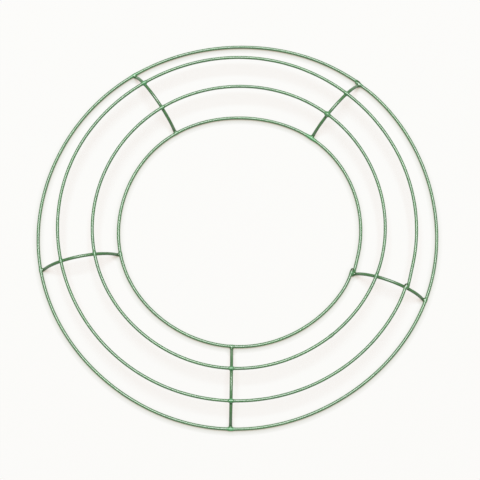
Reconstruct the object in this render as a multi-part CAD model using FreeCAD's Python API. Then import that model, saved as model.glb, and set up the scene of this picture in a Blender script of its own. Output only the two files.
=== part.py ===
"""Raised floral wreath frame: four round wire rings on five arched cross ribs, spot welded and coated green.

Frame: origin at the centre of the rings on the surface the frame lies on, +Z up through the rings,
-Y towards the front rib. The outer and inner rings lie on the surface; the two middle rings ride on
top of the arched ribs. All sizes are in millimetres and all angles in degrees.
"""
import FreeCAD, Part
import math
import os

# Driving dimensions
wire_diameter = 2.4  # steel wire with its coating
outer_diameter = 304.8  # a 12 inch frame, measured over the outer ring
second_ring_radius = 133.6  # ring radii are taken to the middle of the wire
third_ring_radius = 109.9
inner_ring_radius = 91.5
arch_rise = 18.0  # top of a rib's centreline above the centreline of the outer ring
arch_half_angle = 60.0  # a rib turns this far each side of its top, then runs straight
set_down = 0.15  # share of a wire's thickness lost where two wires are welded together
rib_end_margin = 0.25  # the rib is cut off this many wire diameters short of its closest point to a ring

# Each rib's place around the rings and its twist out of the radial direction, as set by hand on the jig
rib_places = {
    "rib_front": (-90.2, 2.3),
    "rib_right": (-18.1, -0.1),
    "rib_back_right": (55.0, -3.6),
    "rib_back_left": (125.4, 2.4),
    "rib_left": (194.3, 0.4),
}

# Where each ring's wire starts and ends, as an angle around the ring
closing_angles = {
    "outer_ring": 55.7,
    "second_ring": -16.6,
    "third_ring": -48.8,
    "inner_ring": -15.8,
}

# Sizes that follow from the driving dimensions
wire_radius = wire_diameter / 2
weld_spacing = wire_diameter * (1 - set_down)  # distance between the middles of two welded wires
outer_ring_radius = outer_diameter / 2 - wire_radius
base_height = wire_radius  # middle of the wire of the two rings that lie on the surface
half_angle = math.radians(arch_half_angle)
rib_middle_radius = (outer_ring_radius + inner_ring_radius) / 2

# Weld sizes, as shares of the wire diameter
crossing_weld_radius = 0.56 * wire_diameter
end_weld_radius = 0.49 * wire_diameter
end_weld_inset = 0.42 * wire_diameter
closing_weld_radius = 0.6 * wire_diameter


def rib_end_offset():
    """Horizontal distance and height of a rib's cut end from the middle of the ring that it meets."""
    across = weld_spacing * math.sin(half_angle) + rib_end_margin * wire_diameter * math.cos(half_angle)
    below = weld_spacing * math.cos(half_angle) - rib_end_margin * wire_diameter * math.sin(half_angle)
    return across, below


end_across, end_below = rib_end_offset()
rib_half_span = (outer_ring_radius - inner_ring_radius) / 2 - end_across
rib_end_height = base_height - end_below
rib_top_height = base_height + arch_rise
straight_run = (rib_top_height - rib_end_height) / math.tan(half_angle)
arch_radius = (rib_half_span - straight_run) / math.tan(half_angle / 2)
arch_centre_height = rib_top_height - arch_radius


def raised_ring_height(ring_radius):
    """Height of the middle of a ring that rides on top of the arches."""
    offset = ring_radius - rib_middle_radius
    return arch_centre_height + math.sqrt((arch_radius + weld_spacing) ** 2 - offset**2)


raised_rings = ("second_ring", "third_ring")
ring_sizes = {
    "outer_ring": (outer_ring_radius, base_height),
    "second_ring": (second_ring_radius, raised_ring_height(second_ring_radius)),
    "third_ring": (third_ring_radius, raised_ring_height(third_ring_radius)),
    "inner_ring": (inner_ring_radius, base_height),
}


def ring_point(ring_radius, height, angle):
    """Point at an angle around a ring."""
    turn = math.radians(angle)
    return FreeCAD.Vector(ring_radius * math.cos(turn), ring_radius * math.sin(turn), height)


def rib_placement(angle, twist):
    """Moves a rib from its own XZ plane, with its middle over the origin, to its place on the rings."""
    middle = ring_point(rib_middle_radius, 0, angle)
    return FreeCAD.Placement(middle, FreeCAD.Rotation(FreeCAD.Vector(0, 0, 1), angle + twist))


def crossing_offset(ring_radius, twist):
    """Distance along a rib, in plan, from the rib's middle to where it crosses a ring."""
    turn = math.radians(twist)
    across = rib_middle_radius * math.sin(turn)
    return math.sqrt(ring_radius**2 - across**2) - rib_middle_radius * math.cos(turn)


def build_rib():
    """One rib in the XZ plane: straight leg, arch, straight leg."""
    arch_end_x = arch_radius * math.sin(half_angle)
    arch_end_z = arch_centre_height + arch_radius * math.cos(half_angle)
    start = FreeCAD.Vector(-rib_half_span, 0, rib_end_height)
    arch_start = FreeCAD.Vector(-arch_end_x, 0, arch_end_z)
    top = FreeCAD.Vector(0, 0, rib_top_height)
    arch_end = FreeCAD.Vector(arch_end_x, 0, arch_end_z)
    end = FreeCAD.Vector(rib_half_span, 0, rib_end_height)
    path = Part.Wire(
        [
            Part.LineSegment(start, arch_start).toShape(),
            Part.Arc(arch_start, top, arch_end).toShape(),
            Part.LineSegment(arch_end, end).toShape(),
        ]
    )
    section = Part.Wire(Part.makeCircle(wire_radius, start, arch_start - start))
    return path.makePipeShell([section], True, False)


def build_ring(ring_radius, height):
    """One closed ring of wire."""
    return Part.makeTorus(ring_radius, wire_radius, FreeCAD.Vector(0, 0, height))


def crossing_weld(ring_radius, twist):
    """Weld nugget between a rib and the raised ring above it, in the rib's own plane."""
    offset = crossing_offset(ring_radius, twist)
    slope = math.asin(offset / (arch_radius + weld_spacing))
    reach = arch_radius + weld_spacing / 2
    centre = FreeCAD.Vector(reach * math.sin(slope), 0, arch_centre_height + reach * math.cos(slope))
    return Part.makeSphere(crossing_weld_radius, centre)


def end_weld(ring_radius, twist):
    """Weld nugget between a rib's end and the ring beside it, in the rib's own plane."""
    offset = crossing_offset(ring_radius, twist)
    inwards = -math.copysign(end_weld_inset, offset)
    centre = FreeCAD.Vector(offset + inwards, 0, base_height)
    return Part.makeSphere(end_weld_radius, centre, FreeCAD.Vector(1, 0, 0))


def rib_weld(ring_name, rib_name):
    """The nugget that joins one rib to one ring, in its place."""
    angle, twist = rib_places[rib_name]
    ring_radius = ring_sizes[ring_name][0]
    build = crossing_weld if ring_name in raised_rings else end_weld
    weld = build(ring_radius, twist)
    weld.Placement = rib_placement(angle, twist)
    return weld


def closing_weld(ring_name):
    """The bead that joins the two ends of a ring's wire, dressed flat where it would reach the surface."""
    ring_radius, height = ring_sizes[ring_name]
    bead = Part.makeSphere(closing_weld_radius, ring_point(ring_radius, height, closing_angles[ring_name]))
    size = 2 * outer_diameter
    above_surface = Part.makeBox(size, size, size, FreeCAD.Vector(-size / 2, -size / 2, 0))
    return bead.common(above_surface)


def build_frame():
    """Every node of the frame, as a name and its solid."""
    rib_welds = {(ring, rib): rib_weld(ring, rib) for ring in ring_sizes for rib in rib_places}
    closing_welds = {ring: closing_weld(ring) for ring in ring_sizes}
    whole_rings = {ring: build_ring(*size) for ring, size in ring_sizes.items()}
    nodes = {}
    for ring, whole_ring in whole_rings.items():
        welds = [rib_welds[ring, rib] for rib in rib_places] + [closing_welds[ring]]
        nodes[ring] = whole_ring.cut(welds)
    for rib, (angle, twist) in rib_places.items():
        whole_rib = build_rib()
        whole_rib.Placement = rib_placement(angle, twist)
        welds = [rib_welds[ring, rib] for ring in ring_sizes]
        nodes[rib] = whole_rib.cut(welds + list(whole_rings.values()))
    for (ring, rib), weld in rib_welds.items():
        nodes[f"weld_{ring}_to_{rib}"] = weld
    for ring, weld in closing_welds.items():
        nodes[f"weld_{ring}_closing"] = weld
    return nodes


os.makedirs("parts", exist_ok=True)
for name, shape in build_frame().items():
    shape.exportStep(f"parts/{name}.step")
    print(f"{name}: {len(shape.Solids)} solid, valid {shape.isValid()}, {shape.Volume:.1f} mm3")
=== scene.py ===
"""Looks of the raised floral wreath frame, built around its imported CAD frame.

Four round wire rings lie on or ride over five arched ribs. The wires are spot welded where they meet,
and everything was dipped in green coating afterwards. Each CAD wire and each CAD weld is stood for by
one mesh piece with the ends, laps, fillets and coating that the plain solid leaves out.
Lengths are in metres and angles in radians, unless a name or comment says otherwise.
"""
import math

import bpy
import numpy as np
from mathutils import Matrix, Vector


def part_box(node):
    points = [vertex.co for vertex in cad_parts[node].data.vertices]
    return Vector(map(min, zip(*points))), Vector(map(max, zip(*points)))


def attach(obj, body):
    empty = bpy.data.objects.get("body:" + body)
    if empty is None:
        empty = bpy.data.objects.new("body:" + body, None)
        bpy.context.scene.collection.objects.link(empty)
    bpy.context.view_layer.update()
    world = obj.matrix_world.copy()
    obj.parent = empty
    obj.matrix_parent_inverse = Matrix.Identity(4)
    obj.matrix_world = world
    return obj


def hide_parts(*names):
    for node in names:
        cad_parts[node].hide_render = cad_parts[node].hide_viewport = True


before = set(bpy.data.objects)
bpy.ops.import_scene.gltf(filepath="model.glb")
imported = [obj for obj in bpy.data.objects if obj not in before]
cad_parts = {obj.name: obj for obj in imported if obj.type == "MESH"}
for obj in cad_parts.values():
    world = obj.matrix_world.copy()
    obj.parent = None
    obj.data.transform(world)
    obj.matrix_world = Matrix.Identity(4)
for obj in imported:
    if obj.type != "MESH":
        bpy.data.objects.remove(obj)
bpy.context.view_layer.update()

MM = 0.001
UP = np.array([0.0, 0.0, 1.0])
RIBS = ("rib_front", "rib_right", "rib_back_right", "rib_back_left", "rib_left")
RINGS = ("outer_ring", "second_ring", "third_ring", "inner_ring")
RAISED_RINGS = ("second_ring", "third_ring")

# Proportions that the CAD frame is built to
ARCH_HALF_ANGLE = math.radians(60)  # a rib bends this far each side of its top, then runs straight
WELD_SPACING = 0.85  # wire diameters between the middles of two welded wires
RIB_END_MARGIN = 0.25  # wire diameters that a rib's end stops short of its closest point to a ring

# How far each ring is from a true circle. Growth is in millimetres; each lobe count has its height in
# millimetres and the direction of its first lobe in degrees. One lobe is a shift, two make an oval,
# and five are the slight corners at the ribs, with flatter stretches between them. The numbers weren't
# chosen by hand: they are least-squares fits to the rings' measured centrelines, rounded.
OUT_OF_ROUND = {
    "outer_ring": (-0.6, {1: (0.9, -159), 2: (1.3, 30), 3: (0.3, 48), 4: (0.2, -19), 5: (0.4, -17)}),
    "second_ring": (0.2, {1: (1.9, 164), 2: (0.7, 4), 4: (0.2, -15), 5: (0.1, 15)}),
    "third_ring": (-0.4, {1: (1.0, 118), 2: (0.6, 37), 4: (0.1, -11), 5: (0.2, -17)}),
    "inner_ring": (-0.4, {1: (1.5, 81), 2: (1.2, 13), 3: (0.4, 29), 4: (0.2, 36), 5: (0.3, -17)}),
}

# How the two ends of each ring's wire meet. The wire starts at one angle and comes round to the other,
# in degrees. At the joint its last end lies inwards of its first end and above it, and the pair lies
# outwards of the ring, or inwards where the number is negative, in millimetres.
RING_ENDS = {
    "outer_ring": {"start": 54.9, "finish": 55.3, "inwards": 0.8, "above": 0.4, "outwards": -0.3},
    "second_ring": {"start": -18.0, "finish": -17.6, "inwards": 1.4, "above": 0.2, "outwards": 0.2},
    "third_ring": {"start": -48.6, "finish": -48.4, "inwards": 0.0, "above": 0.0, "outwards": 0.1},
    "inner_ring": {"start": -18.8, "finish": -16.7, "inwards": 1.6, "above": 0.9, "outwards": 0.1},
}
END_BEND_LENGTH = 9 * MM  # a ring's wire leaves its circle over this length before its end
SCORCHED_ENDS = {"outer_ring": "start", "second_ring": "finish", "inner_ring": "finish"}  # dark ends

# Beads of metal under and between the wires: radii and distances in wire diameters
CROSSING_BEAD = 0.56
END_BEAD = 0.42
END_BEAD_ACROSS = 0.42  # from the middle of the ring's wire towards the rib
END_BEAD_BELOW = 0.08  # from the middle of the ring's wire downwards
CLOSING_BEAD = 0.46
DROPS = {"weld_third_ring_to_rib_back_right": 0.88}  # radius of an extra drop that ran over a weld
DROP_BELOW = 0.2  # from the middle of the ring's wire downwards

# How far a weld's skin follows its wires from the weld's middle, and how widely it fills their corners
CROSSING_REACH = 3.2 * MM
DROP_REACH = 4.4 * MM
END_REACH = 3.0 * MM
CLOSING_REACH = 3.6 * MM
WELD_FILLET = 1.1 * MM
CLOSING_FILLET = 0.3 * MM

# Where the coating pooled, thick and emerald green, over a weld: how much of it, from 0 to 1, how far it
# spread, in millimetres, and the size of its beads against plain ones. The other welds have the plain
# pool.
PLAIN_POOL = (0.25, 1.8, 1.0)
POOLS = {
    "weld_outer_ring_to_rib_front": (0.9, 2.8, 1.1),
    "weld_outer_ring_to_rib_back_right": (0.7, 2.4, 1.15),
    "weld_outer_ring_to_rib_back_left": (0.5, 4.5, 1.0),
    "weld_second_ring_to_rib_front": (1.0, 1.9, 1.0),
    "weld_second_ring_to_rib_back_left": (0.8, 2.2, 1.0),
    "weld_third_ring_to_rib_front": (1.0, 1.9, 1.0),
    "weld_third_ring_to_rib_back_right": (0.3, 2.6, 1.0),
    "weld_third_ring_to_rib_back_left": (0.4, 1.8, 1.0),
    "weld_inner_ring_to_rib_back_right": (0.8, 4.8, 1.1),
    "weld_inner_ring_to_rib_right": (0.5, 2.4, 1.0),
    "weld_outer_ring_closing": (0.6, 2.2, 0.9),
    "weld_third_ring_closing": (0.0, 1.6, 0.5),
    "weld_inner_ring_closing": (0.6, 2.6, 1.0),
}
POOL_THICKNESS = 0.25 * MM  # most that a pool adds to a wire's radius
RIB_POOL = 0.3  # share of a pool that lies on the rib under it

# How much darker olive the coating is made, from 0 to 1. In a weld's corners and on a rib beside a weld
# this is painted shade; at a ring's scorched end it is the coating scorched by the heat of welding.
RIB_DARKENING = 0.2  # all along a rib
WELD_PAINTED_SHADE = 0.65  # painted shade in a weld's corners and on the ribs beside it
RIB_SHADE_LENGTH = 2.7 * MM  # how far from a weld a rib carries painted shade
TIP_LENGTH = 2.0 * MM  # how far from its scorched end a ring is darker

# Slow swellings and soft ripples of the coating along a wire: wavelength and height in millimetres
SWELLS = ((37, 0.012), (17, 0.012), (7.3, 0.010), (3.1, 0.006))

# Mesh fineness
WIRE_SIDES = 24
WIRE_STEP = 0.9 * MM
WELD_CELL = 0.2 * MM


def node_centre(node):
    """Middle of a CAD node's box."""
    low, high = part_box(node)
    return np.array((low + high) / 2)


def smoothstep(x):
    """Rises smoothly from 0 at 0 to 1 at 1."""
    x = np.clip(x, 0.0, 1.0)
    return x * x * (3 - 2 * x)


# ---------------------------------------------------------------- sizes read from the frame

outer_low, outer_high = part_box("outer_ring")
WIRE_RADIUS = (outer_high.z - outer_low.z) / 2
WIRE_DIAMETER = 2 * WIRE_RADIUS
RING_RADIUS = {ring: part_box(ring)[1].x - WIRE_RADIUS for ring in RINGS}
RING_HEIGHT = {ring: node_centre(ring)[2] for ring in RINGS}
RIB_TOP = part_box("rib_front")[1].z - WIRE_RADIUS
SPACING = WELD_SPACING * WIRE_DIAMETER

end_margin = RIB_END_MARGIN * WIRE_DIAMETER
END_ACROSS = SPACING * math.sin(ARCH_HALF_ANGLE) + end_margin * math.cos(ARCH_HALF_ANGLE)
END_BELOW = SPACING * math.cos(ARCH_HALF_ANGLE) - end_margin * math.sin(ARCH_HALF_ANGLE)
HALF_REACH = (RING_RADIUS["outer_ring"] - RING_RADIUS["inner_ring"]) / 2
RIB_HALF_SPAN = HALF_REACH - END_ACROSS
RIB_END = RING_HEIGHT["outer_ring"] - END_BELOW
STRAIGHT_RUN = (RIB_TOP - RIB_END) / math.tan(ARCH_HALF_ANGLE)
ARCH_RADIUS = (RIB_HALF_SPAN - STRAIGHT_RUN) / math.tan(ARCH_HALF_ANGLE / 2)
ARCH_CENTRE = RIB_TOP - ARCH_RADIUS


# ---------------------------------------------------------------- centrelines

def ring_radius(ring, turn):
    """Radius of a ring as it was really bent, at an angle around it."""
    growth, lobes = OUT_OF_ROUND[ring]
    radius = RING_RADIUS[ring] + growth * MM
    for count, (height, direction) in lobes.items():
        radius = radius + height * MM * np.cos(count * (turn - math.radians(direction)))
    return radius


def weld_turn(ring, rib):
    """Angle around the rings at which a rib meets a ring."""
    x, y, _ = node_centre(f"weld_{ring}_to_{rib}")
    return math.atan2(y, x)


def ring_place(ring, rib):
    """Point in plan on a ring where a rib meets it."""
    turn = weld_turn(ring, rib)
    return ring_radius(ring, turn) * np.array([math.cos(turn), math.sin(turn)])


def rib_line(rib):
    """Middle of a rib in plan, its direction outwards, and its stretch to reach its rings."""
    inner, outer = ring_place("inner_ring", rib), ring_place("outer_ring", rib)
    reach = np.linalg.norm(outer - inner)
    return (inner + outer) / 2, (outer - inner) / reach, reach / (2 * HALF_REACH)


def height_over_rib(ring, rib):
    """Height at which a raised ring rests on a rib's arch."""
    middle, direction, stretch = rib_line(rib)
    along = (ring_place(ring, rib) - middle) @ direction / stretch
    return ARCH_CENTRE + math.sqrt((ARCH_RADIUS + SPACING) ** 2 - along**2)


def ring_height(ring, turn):
    """Height of a ring's centreline. A raised ring passes smoothly from one rib to the next."""
    if ring not in RAISED_RINGS:
        return np.full_like(turn, RING_HEIGHT[ring])
    stops = sorted((weld_turn(ring, rib) % math.tau, height_over_rib(ring, rib)) for rib in RIBS)
    turns = np.array([stops[-1][0] - math.tau] + [t for t, _ in stops] + [stops[0][0] + math.tau])
    heights = np.array([stops[-1][1]] + [h for _, h in stops] + [stops[0][1]])
    wrapped = turn % math.tau
    before = np.clip(np.searchsorted(turns, wrapped) - 1, 0, len(turns) - 2)
    share = smoothstep((wrapped - turns[before]) / (turns[before + 1] - turns[before]))
    return heights[before] * (1 - share) + heights[before + 1] * share


def ring_path(ring):
    """Centreline of a ring's wire from its first end to its last."""
    ends = RING_ENDS[ring]
    start, finish = math.radians(ends["start"]), math.radians(ends["finish"]) + math.tau
    steps = round((finish - start) * RING_RADIUS[ring] / WIRE_STEP)
    turn = np.linspace(start, finish, steps + 1)
    near_start = np.exp(-(((turn - start) * RING_RADIUS[ring] / END_BEND_LENGTH) ** 2))
    near_finish = np.exp(-(((finish - turn) * RING_RADIUS[ring] / END_BEND_LENGTH) ** 2))
    lap = ends["inwards"] / 2 * (near_start - near_finish) + ends["outwards"] * (near_start + near_finish)
    radius = ring_radius(ring, turn) + lap * MM
    height = ring_height(ring, turn) + ends["above"] * MM * near_finish
    return np.column_stack([radius * np.cos(turn), radius * np.sin(turn), height])


def rib_path(rib):
    """Centreline of a rib from its inner end to its outer end: straight leg, arch, straight leg."""
    wire_over_span = 1.3
    steps = round(2 * RIB_HALF_SPAN * wire_over_span / WIRE_STEP)
    along = np.linspace(-RIB_HALF_SPAN, RIB_HALF_SPAN, steps + 1)
    arch_half = ARCH_RADIUS * math.sin(ARCH_HALF_ANGLE)
    arch_along = np.clip(along, -arch_half, arch_half)
    arch_height = ARCH_CENTRE + np.sqrt(ARCH_RADIUS**2 - arch_along**2)
    height = arch_height - np.maximum(np.abs(along) - arch_half, 0) * math.tan(ARCH_HALF_ANGLE)
    middle, direction, stretch = rib_line(rib)
    plan = middle + np.outer(along * stretch, direction)
    return np.column_stack([plan, height])


WIRE_PATHS = {ring: ring_path(ring) for ring in RINGS} | {rib: rib_path(rib) for rib in RIBS}


# ---------------------------------------------------------------- welds

def closing_turn(ring):
    """Angle around the rings at which a ring's two ends meet."""
    ends = RING_ENDS[ring]
    return math.radians(ends["start"] + ends["finish"]) / 2


def on_ring(ring, turn, height=0.0, outwards=0.0):
    """Point at an angle around a ring, raised and moved outwards from its centreline."""
    radius = ring_radius(ring, turn) + outwards
    level = float(ring_height(ring, np.array([turn]))[0]) + height
    return np.array([radius * math.cos(turn), radius * math.sin(turn), level])


class Weld:
    """One weld: the CAD node it stands for, the wires that it joins, how far its skin reaches along them,
    how widely their corners are filled, and the place and radius of each bead of metal laid there. Its
    underside is the direction from the pool on top to the painted shade, dark olive, in its corners."""

    def __init__(self, node, wires, centre, underside, reach, fillet, beads):
        self.node = node
        self.wires = wires
        self.centre = centre
        self.underside = underside
        self.reach = reach
        self.fillet = fillet
        self.beads = beads
        self.pool, self.spread, self.size = POOLS.get(node, PLAIN_POOL)


def crossing_weld(ring, rib):
    """Weld of a raised ring on a rib: the wires are sunk together, with a bead between them."""
    node = f"weld_{ring}_to_{rib}"
    turn = weld_turn(ring, rib)
    centre = on_ring(ring, turn)
    reach = CROSSING_REACH
    beads = [(on_ring(ring, turn, height=-SPACING / 2), CROSSING_BEAD * WIRE_DIAMETER)]
    if node in DROPS:
        reach = DROP_REACH
        place = on_ring(ring, turn, height=-DROP_BELOW * WIRE_DIAMETER)
        beads.append((place, DROPS[node] * WIRE_DIAMETER))
    return Weld(node, (ring, rib), centre, -UP, reach, WELD_FILLET, beads)


def end_weld(ring, rib):
    """Weld of a rib's end to the flank of a ring that lies on the surface."""
    node = f"weld_{ring}_to_{rib}"
    turn = weld_turn(ring, rib)
    centre = on_ring(ring, turn)
    side = -1 if ring == "outer_ring" else 1
    towards_rib = side * np.array([math.cos(turn), math.sin(turn), 0.0])
    across, below = side * END_BEAD_ACROSS * WIRE_DIAMETER, END_BEAD_BELOW * WIRE_DIAMETER
    beads = [(on_ring(ring, turn, height=-below, outwards=across), END_BEAD * WIRE_DIAMETER)]
    return Weld(node, (ring, rib), centre, towards_rib, END_REACH, WELD_FILLET, beads)


def closing_weld(ring):
    """Weld between the two ends of a ring's wire."""
    node = f"weld_{ring}_closing"
    turn = closing_turn(ring)
    centre = on_ring(ring, turn)
    place = on_ring(ring, turn, outwards=-RING_ENDS[ring]["inwards"] / 2 * MM)
    beads = [(place, CLOSING_BEAD * WIRE_DIAMETER)]
    return Weld(node, (ring,), centre, -UP, CLOSING_REACH, CLOSING_FILLET, beads)


def all_welds():
    """Each ring's five welds to the ribs, then the weld that closes it."""
    welds = []
    for ring in RINGS:
        build = crossing_weld if ring in RAISED_RINGS else end_weld
        welds += [build(ring, rib) for rib in RIBS] + [closing_weld(ring)]
    return welds


WELDS = all_welds()


def pool_over(weld, points):
    """How much of a weld's pooled coating lies at each point, from 0 to 1."""
    distance = np.linalg.norm(points - weld.centre, axis=1)
    return weld.pool * (1 - smoothstep((distance / MM - 0.4 * weld.spread) / weld.spread))


def pooled_coating(points, wire):
    """How much pooled coating lies at each point of a wire, from 0 to 1."""
    amount = np.zeros(len(points))
    for weld in WELDS:
        if wire in weld.wires:
            amount = np.maximum(amount, pool_over(weld, points))
    return amount * (RIB_POOL if wire in RIBS else 1.0)


def scorched_tip(points, ring):
    """How scorched the coating is, from 0 to 1, around the upper free side of a ring's scorched end."""
    if ring not in SCORCHED_ENDS:
        return np.zeros(len(points))
    first = SCORCHED_ENDS[ring] == "start"
    end = WIRE_PATHS[ring][0 if first else -1]
    outwards = end * (1, 1, 0) / np.linalg.norm(end[:2])
    place = end + (UP + (outwards if first else -outwards)) * 0.6 * WIRE_RADIUS
    distance = np.linalg.norm(points - place, axis=1)
    return 1 - smoothstep(distance / TIP_LENGTH - 0.4)


def rib_darkening_and_shade(points, rib):
    """How much darker olive a rib is, from 0 to 1: a little all along it, and most beside each of its
    welds, where the darkening is painted shade.
    """
    places = [weld.centre for weld in WELDS if rib in weld.wires]
    # Beside each weld the rib is darkened as painted shade.
    distance = np.min([np.linalg.norm(points - place, axis=1) for place in places], axis=0)
    return RIB_DARKENING + (WELD_PAINTED_SHADE - RIB_DARKENING) * (1 - smoothstep(distance / RIB_SHADE_LENGTH - 0.4))


def weld_shade_and_scorch(points, weld):
    """How much painted shade lies in a weld's corners, and how scorched the coating is at a ring's end,
    from 0 to 1.
    """
    depth = (points - weld.centre) @ weld.underside / WIRE_DIAMETER
    # Painted shade: the coating is darkened towards the weld's underside, in its corners.
    corners = WELD_PAINTED_SHADE * smoothstep((depth - 0.15) / 0.5)
    return np.maximum(corners, scorched_tip(points, weld.wires[0]))


# ---------------------------------------------------------------- mesh building

def make_object(name, points, faces, materials, layers):
    """A smooth shaded mesh object. Layers holds a number for each point, under each layer's name."""
    mesh = bpy.data.meshes.new(name)
    mesh.from_pydata(np.asarray(points).tolist(), [], faces)
    for layer, values in layers.items():
        attribute = mesh.attributes.new(layer, "FLOAT", "POINT")
        attribute.data.foreach_set("value", np.asarray(values, np.float32))
    for material in materials:
        mesh.materials.append(material)
    mesh.polygons.foreach_set("use_smooth", [True] * len(mesh.polygons))
    mesh.validate()
    mesh.update()
    piece = bpy.data.objects.new(name, mesh)
    bpy.context.scene.collection.objects.link(piece)
    return piece


def path_frames(path):
    """Unit tangent, sideways and upwards directions at each point of a path."""
    tangent = np.gradient(path, axis=0)
    tangent /= np.linalg.norm(tangent, axis=1, keepdims=True)
    sideways = np.cross(tangent, UP)
    sideways /= np.linalg.norm(sideways, axis=1, keepdims=True)
    return tangent, sideways, np.cross(sideways, tangent)


def path_lengths(path):
    """Distance along a path to each of its points."""
    return np.concatenate([[0.0], np.cumsum(np.linalg.norm(np.diff(path, axis=0), axis=1))])


def coating_swell(lengths, around, seed):
    """How much thicker the coating is at each place on a wire. Each swelling is the same all round the
    wire, or winds along it once or twice."""
    random = np.random.default_rng(seed)
    swell = np.zeros((len(lengths), len(around)))
    for wavelength, height in SWELLS:
        for turns in (0, 1, 2):
            phase, twist = random.uniform(0, math.tau, 2)
            along = lengths[:, None] * math.tau / (wavelength * MM) + phase
            swell += height * MM / (1 + turns) * np.cos(along + turns * around + twist)
    return swell


def wire_mesh(path, thickening, seed):
    """Round wire along a path, thickened by an amount at each point of the path. Gives its points, its
    faces, and the numbers of the points in rows around the wire."""
    tangent, sideways, upwards = path_frames(path)
    lengths = path_lengths(path)
    around = np.linspace(0, math.tau, WIRE_SIDES, endpoint=False)
    radius = WIRE_RADIUS + thickening[:, None] + coating_swell(lengths, around, seed)
    offset = (
        np.cos(around)[None, :, None] * sideways[:, None, :]
        + np.sin(around)[None, :, None] * upwards[:, None, :]
    )
    points = path[:, None, :] + radius[:, :, None] * offset
    points[:, :, 2] = np.maximum(points[:, :, 2], 0.0)
    rows, sides = points.shape[:2]
    index = np.arange(rows * sides).reshape(rows, sides)
    following = np.roll(index, -1, axis=1)
    quads = np.stack([index[:-1], index[1:], following[1:], following[:-1]], axis=-1).reshape(-1, 4)
    return points.reshape(-1, 3), quads.tolist(), index


def add_cut_end(points, faces, edge, centre, outwards):
    """Closes one end of a wire with a sheared face: a rounded rim, then a slightly hollow flat."""
    rim_out, rim_in, flat_in = 0.10 * MM, 0.16 * MM, 0.75 * MM
    spoke = points[edge] - centre
    length = np.linalg.norm(spoke, axis=1, keepdims=True)
    rings = [edge]
    for inset, advance in ((rim_in, rim_out), (flat_in, 0.6 * rim_out)):
        ring = centre + spoke * (1 - inset / length) + outwards * advance
        start = len(points)
        points = np.vstack([points, ring])
        rings.append(np.arange(start, start + len(edge)))
    for outer, inner in zip(rings[:-1], rings[1:]):
        band = np.stack([outer, np.roll(outer, -1), np.roll(inner, -1), inner], axis=-1)
        faces += band.tolist()
    faces.append(rings[-1].tolist())
    return points, faces


def build_wire(node, seed, coating, cut_end):
    """The mesh piece that stands for one CAD wire. Its seed makes its swellings its own."""
    path = WIRE_PATHS[node]
    thickening = POOL_THICKNESS * pooled_coating(path, node)
    points, faces, index = wire_mesh(path, thickening, seed)
    coated_faces = len(faces)
    tangent = path_frames(path)[0]
    points, faces = add_cut_end(points, faces, index[0], path[0], -tangent[0])
    points, faces = add_cut_end(points, faces, index[-1][::-1], path[-1], tangent[-1])
    # Ribs are darkened beside their welds as painted shade; a ring only at its scorched end.
    scorch_and_shade = rib_darkening_and_shade if node in RIBS else scorched_tip
    layers = {"pooled": pooled_coating(points, node), "scorch_and_shade": scorch_and_shade(points, node)}
    piece = make_object(f"{node}_wire", points, faces, [coating, cut_end], layers)
    for polygon in piece.data.polygons[coated_faces:]:
        polygon.material_index = 1
    piece.data.set_sharp_from_angle(angle=math.radians(50))
    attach(piece, "root")
    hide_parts(node)
    return piece


# ---------------------------------------------------------------- weld skins

def distance_to_path(points, path, radii):
    """Signed distance from points to a round wire along a path whose radius varies along it."""
    best = np.full(len(points), np.inf)
    for start, end, r0, r1 in zip(path[:-1], path[1:], radii[:-1], radii[1:]):
        step = end - start
        share = np.clip((points - start) @ step / (step @ step), 0, 1)
        gap = np.linalg.norm(points - start - share[:, None] * step, axis=1) - (r0 + share * (r1 - r0))
        best = np.minimum(best, gap)
    return best


def blend(a, b, width):
    """Smooth union of two distances: the corner between them is filled over the width."""
    share = np.clip(0.5 + 0.5 * (b - a) / width, 0, 1)
    return b * (1 - share) + a * share - width * share * (1 - share)


def weld_stubs(weld):
    """The stretches of wire inside a weld, each with its radii: a little thicker than the coated wire at
    the weld and thinner at the far ends, so that the skin dives under the wire's own surface."""
    thicker, fall = 0.10 * MM, 0.22 * MM
    stubs = []
    for wire in weld.wires:
        path = WIRE_PATHS[wire]
        distance = np.linalg.norm(path - weld.centre, axis=1)
        inside = distance < weld.reach
        runs = np.flatnonzero(np.diff(np.concatenate([[False], inside, [False]]).astype(int)))
        for first, last in zip(runs[::2], runs[1::2]):
            if last - first > 1:
                stub = path[first:last]
                fade = smoothstep((distance[first:last] / weld.reach - 0.3) / 0.7)
                pool = POOL_THICKNESS * pooled_coating(stub, wire)
                stubs.append((stub, WIRE_RADIUS + pool + thicker - fall * fade))
    return stubs


def weld_field(weld, stubs, points):
    """Signed distance to a weld's skin: wires and beads run together, flat where they meet the floor."""
    field = None
    for path, radii in stubs:
        part = distance_to_path(points, path, radii)
        field = part if field is None else blend(field, part, weld.fillet)
    for centre, radius in weld.beads:
        bead = np.linalg.norm(points - centre, axis=1) - radius * weld.size
        field = blend(field, bead, weld.fillet)
    return np.maximum(field, -points[:, 2])


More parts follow.
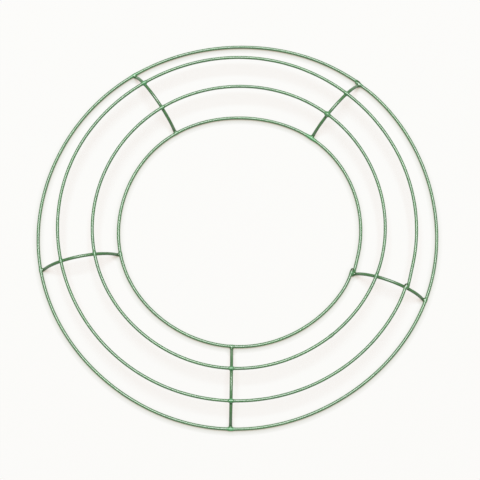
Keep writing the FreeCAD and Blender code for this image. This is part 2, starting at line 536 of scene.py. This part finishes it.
def surface_nets(values, low, cell):
    """Points and quads of the zero surface of a grid of distances: one point in each cell that the
    surface passes through, and one quad round each grid edge that it crosses."""
    inside = values < 0
    shape = np.array(values.shape) - 1
    total, count = np.zeros((*shape, 3)), np.zeros(shape)
    corners = [np.array([i, j, k]) for i in (0, 1) for j in (0, 1) for k in (0, 1)]

    def at(grid, corner):
        i, j, k = corner
        return grid[i : i + shape[0], j : j + shape[1], k : k + shape[2]]

    for a in corners:
        for b in corners:
            if (b - a).sum() != 1 or (b - a).min() < 0:
                continue
            crossed = at(inside, a) != at(inside, b)
            va, vb = at(values, a), at(values, b)
            share = np.where(crossed, va / np.where(crossed, va - vb, 1), 0)
            total += crossed[..., None] * (a + share[..., None] * (b - a))
            count += crossed
    used = count > 0
    number = np.full(shape, -1)
    number[used] = np.arange(used.sum())
    points = low + cell * (np.argwhere(used) + total[used] / count[used][:, None])
    faces = []
    for axis in range(3):
        u, v = np.eye(3, dtype=int)[(axis + 1) % 3], np.eye(3, dtype=int)[(axis + 2) % 3]
        ahead = np.roll(inside, -1, axis=axis)
        flips = np.argwhere(inside != ahead)
        flips = flips[(flips[:, axis] < shape[axis]) & (flips.min(axis=1) >= 0)]
        flips = flips[(flips[:, (axis + 1) % 3] > 0) & (flips[:, (axis + 2) % 3] > 0)]
        quads = np.stack([number[tuple((flips - s).T)] for s in (u + v, v, 0 * u, u)], axis=-1)
        entering = ~inside[tuple(flips.T)]
        quads[entering] = quads[entering][:, ::-1]
        faces += quads.tolist()
    return points, faces


def settle(points, field, probe, rounds=3):
    """Moves points onto the zero surface along its slope, which is felt out a probe's length each way."""
    least_slope = 0.2
    for _ in range(rounds):
        value = field(points)
        rises = [field(points + probe * step) - field(points - probe * step) for step in np.eye(3)]
        slope = np.stack([rise / (2 * probe) for rise in rises], axis=1)
        steepness = np.maximum((slope**2).sum(axis=1), least_slope)
        points = points - value[:, None] * slope / steepness[:, None]
    return points


def build_weld(weld, coating):
    """The mesh piece that stands for one CAD weld."""
    stubs = weld_stubs(weld)
    solid = np.vstack([path for path, _ in stubs] + [centre[None] for centre, _ in weld.beads])
    low = solid.min(axis=0) - WIRE_DIAMETER
    high = solid.max(axis=0) + WIRE_DIAMETER
    low[2] = max(low[2], -3 * WELD_CELL)
    axes = [np.arange(a, b, WELD_CELL) for a, b in zip(low, high)]
    grid = np.stack(np.meshgrid(*axes, indexing="ij"), axis=-1)

    def field(points):
        return weld_field(weld, stubs, points)

    values = field(grid.reshape(-1, 3)).reshape(grid.shape[:3])
    points, faces = surface_nets(values, low, WELD_CELL)
    points = settle(points, field, 0.25 * WELD_CELL)
    points[:, 2] = np.maximum(points[:, 2], 0.0)
    layers = {"pooled": pool_over(weld, points), "scorch_and_shade": weld_shade_and_scorch(points, weld)}
    piece = make_object(f"{weld.node}_bead", points, faces, [coating], layers)
    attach(piece, "root")
    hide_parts(weld.node)
    return piece


# ---------------------------------------------------------------- materials

def new_material(name):
    """A material with its nodes, its links and its shader."""
    material = bpy.data.materials.new(name)
    material.use_nodes = True
    nodes, links = material.node_tree.nodes, material.node_tree.links
    return material, nodes, links, nodes["Principled BSDF"]


def noise(nodes, links, vector, scale, detail=3.0, roughness=0.5):
    """A noise texture's value over a vector output."""
    texture = nodes.new("ShaderNodeTexNoise")
    texture.inputs["Scale"].default_value = scale
    texture.inputs["Detail"].default_value = detail
    texture.inputs["Roughness"].default_value = roughness
    links.new(vector, texture.inputs["Vector"])
    return texture.outputs["Fac"]


def remap(nodes, links, value, low, high, to_low, to_high):
    """A value moved smoothly from one range to another."""
    node = nodes.new("ShaderNodeMapRange")
    node.interpolation_type = "SMOOTHSTEP"
    for socket, number in zip(("From Min", "From Max", "To Min", "To Max"), (low, high, to_low, to_high)):
        node.inputs[socket].default_value = number
    links.new(value, node.inputs["Value"])
    return node.outputs["Result"]


def mix(nodes, links, share, first, second):
    """A colour between two others, each a colour or an output."""
    node = nodes.new("ShaderNodeMix")
    node.data_type = "RGBA"
    links.new(share, node.inputs["Factor"])
    first_socket, second_socket = [socket for socket in node.inputs if socket.type == "RGBA"]
    for socket, colour in ((first_socket, first), (second_socket, second)):
        if isinstance(colour, tuple):
            socket.default_value = (*colour, 1.0)
        else:
            links.new(colour, socket)
    return next(socket for socket in node.outputs if socket.type == "RGBA")


def vertex_value(nodes, name):
    """A named vertex layer of the mesh, as an output."""
    layer = nodes.new("ShaderNodeAttribute")
    layer.attribute_name = name
    return layer.outputs["Fac"]


def coating_material():
    """Green dipped coating, mottled, with soft orange peel. It is emerald and softer in gloss where it
    pooled, and dark olive where the heat of welding scorched a ring's end. The same olive is painted
    shade in the welds' corners and on the ribs beside the welds, and a little of it lies all along the
    ribs."""
    material, nodes, links, shader = new_material("green_coating")
    place = nodes.new("ShaderNodeTexCoord").outputs["Object"]
    pooled, scorch_and_shade = vertex_value(nodes, "pooled"), vertex_value(nodes, "scorch_and_shade")

    mottle = remap(nodes, links, noise(nodes, links, place, 420, 4, 0.6), 0.35, 0.65, 0, 1)
    drift = remap(nodes, links, noise(nodes, links, place, 45, 2), 0.35, 0.65, 0, 1)
    green = mix(nodes, links, mottle, (0.058, 0.148, 0.056), (0.072, 0.172, 0.070))
    green = mix(nodes, links, drift, green, (0.062, 0.146, 0.064))
    emerald = mix(nodes, links, mottle, (0.044, 0.210, 0.070), (0.066, 0.268, 0.098))
    olive = mix(nodes, links, mottle, (0.020, 0.048, 0.014), (0.042, 0.075, 0.020))
    glazed = mix(nodes, links, pooled, green, emerald)
    # Olive: a ring's scorched end, and painted shade in weld corners and on ribs beside welds.
    links.new(mix(nodes, links, scorch_and_shade, glazed, olive), shader.inputs["Base Color"])

    links.new(remap(nodes, links, pooled, 0, 1, 0.29, 0.42), shader.inputs["Roughness"])

    peel = nodes.new("ShaderNodeBump")
    peel.inputs["Strength"].default_value = 0.12
    peel.inputs["Distance"].default_value = 0.05 * MM
    links.new(noise(nodes, links, place, 600, 2), peel.inputs["Height"])
    links.new(peel.outputs["Normal"], shader.inputs["Normal"])
    shader.inputs["IOR"].default_value = 1.58
    return material


def cut_end_material():
    """Sheared steel end with thin, browned coating."""
    material, nodes, links, shader = new_material("sheared_end")
    place = nodes.new("ShaderNodeTexCoord").outputs["Object"]
    blotch = remap(nodes, links, noise(nodes, links, place, 1400, 4), 0.4, 0.6, 0, 1)
    brown = mix(nodes, links, blotch, (0.040, 0.030, 0.018), (0.110, 0.075, 0.040))
    links.new(brown, shader.inputs["Base Color"])
    rough = remap(nodes, links, noise(nodes, links, place, 2500, 3), 0.3, 0.7, 0.5, 0.8)
    links.new(rough, shader.inputs["Roughness"])
    shader.inputs["Metallic"].default_value = 0.3
    return material


# ---------------------------------------------------------------- studio

def add_floor():
    """A plain, nearly white table top. It glows evenly, as a table lit from all round looks. Beside a
    wire that lies on it a contact shadow is painted into the glow, darker and warmer, mostly on the front
    side, because the light leans from the back."""
    half_width = 20.0
    # The second colour is the painted contact shadow beside a wire.
    open_glow, painted_shadow_colour = (0.810, 0.731, 0.684), (0.38, 0.32, 0.21)
    corner_width = 4 * MM
    towards_light = (0.0, 0.6, 0.8)
    corners = [(x * half_width, y * half_width, 0) for x, y in ((-1, -1), (1, -1), (1, 1), (-1, 1))]
    mesh = bpy.data.meshes.new("floor")
    mesh.from_pydata(corners, [], [(0, 1, 2, 3)])
    floor = bpy.data.objects.new("floor", mesh)
    bpy.context.scene.collection.objects.link(floor)
    material, nodes, links, shader = new_material("white_table")
    shader.inputs["Base Color"].default_value = (0.088, 0.128, 0.144, 1)
    shader.inputs["Roughness"].default_value = 0.9
    shader.inputs["Specular IOR Level"].default_value = 0.0
    openness = nodes.new("ShaderNodeAmbientOcclusion")
    openness.inputs["Distance"].default_value = corner_width
    openness.samples = 8
    leaning = nodes.new("ShaderNodeCombineXYZ")
    for socket, number in zip(leaning.inputs, towards_light):
        socket.default_value = number
    links.new(leaning.outputs["Vector"], openness.inputs["Normal"])
    # Ambient occlusion darkens the glow beside a wire: a painted contact shadow.
    glow = mix(nodes, links, openness.outputs["AO"], painted_shadow_colour, open_glow)
    links.new(glow, shader.inputs["Emission Color"])
    shader.inputs["Emission Strength"].default_value = 1.0
    mesh.materials.append(material)


def add_softbox(name, lean, bearing, distance, size, energy):
    """A large square soft light that faces the middle of the frame. Lean is its angle from overhead."""
    light = bpy.data.lights.new(name, "AREA")
    light.shape = "SQUARE"
    light.size = size
    light.energy = energy
    softbox = bpy.data.objects.new(name, light)
    direction = Vector(
        (math.sin(lean) * math.cos(bearing), math.sin(lean) * math.sin(bearing), math.cos(lean))
    )
    softbox.location = direction * distance
    softbox.rotation_euler = direction.to_track_quat("Z", "Y").to_euler()
    softbox.visible_camera = False
    bpy.context.scene.collection.objects.link(softbox)


def add_world(brightness):
    """Even, dim light from the room all around."""
    world = bpy.data.worlds.new("room")
    world.use_nodes = True
    background = world.node_tree.nodes["Background"]
    background.inputs["Color"].default_value = (1.0, 0.99, 0.98, 1)
    background.inputs["Strength"].default_value = brightness
    bpy.context.scene.world = world


def add_camera():
    """Looks down steeply from the front, a little off the frame's middle and slightly rolled. Distances
    are in radii of the outer ring. Its angles, distances and lens were solved by a fit, then rounded."""
    reach = RING_RADIUS["outer_ring"]
    elevation, roll = math.radians(75.6), math.radians(-2.79)
    distance = 8.05 * reach
    right = Vector((1, 0, 0))
    up = Vector((0, math.sin(elevation), math.cos(elevation)))
    forward = Vector((0, math.cos(elevation), -math.sin(elevation)))
    aim = Vector((0, 0, RING_HEIGHT["outer_ring"])) + reach * (0.0058 * right - 0.0439 * up)
    lens = bpy.data.cameras.new("camera")
    lens.sensor_width = 36
    lens.lens = 120.09
    lens.clip_start = 0.05
    lens.clip_end = 20
    camera = bpy.data.objects.new("camera", lens)
    across = math.cos(roll) * right - math.sin(roll) * up
    over = math.sin(roll) * right + math.cos(roll) * up
    turned = Matrix((across, over, -forward)).transposed()
    camera.matrix_world = Matrix.Translation(aim - distance * forward) @ turned.to_4x4()
    bpy.context.scene.collection.objects.link(camera)
    bpy.context.scene.camera = camera


# ---------------------------------------------------------------- everything together

add_camera()
add_floor()
add_softbox("overhead_softbox", math.radians(10), math.radians(100), 4.0, 2.2, 300.0)
add_world(0.15)
bpy.context.scene.view_settings.view_transform = "Standard"

coating = coating_material()
cut_end = cut_end_material()

for number, node in enumerate(RINGS + RIBS):
    build_wire(node, number, coating, cut_end)
for weld in WELDS:
    build_weld(weld, coating)
